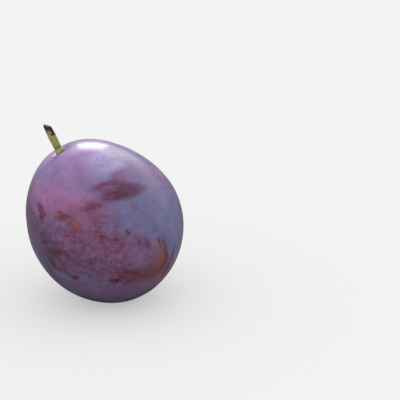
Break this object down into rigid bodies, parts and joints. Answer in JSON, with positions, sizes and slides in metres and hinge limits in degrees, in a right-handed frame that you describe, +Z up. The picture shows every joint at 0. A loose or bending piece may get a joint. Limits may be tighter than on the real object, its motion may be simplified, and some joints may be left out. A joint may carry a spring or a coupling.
{
  "type": "plum",
  "caption": "Whole European plum with its short woody stalk, leaning on a small pressed spot on its underside.",
  "frame": {"origin": "middle of the small flat spot on the underside, on the surface that the plum rests on", "axes": "+Z up, away from the resting surface; the stalk end leans towards -X; -Y is the side seen from the front"},
  "size_m": [0.0472, 0.0463, 0.0543],
  "materials": {
    "skin": "satin",
    "stalk": "matte"
  },
  "bodies": {
    "root": {"fruit": "skin", "stalk": "stalk"}
  },
  "joints": []
}
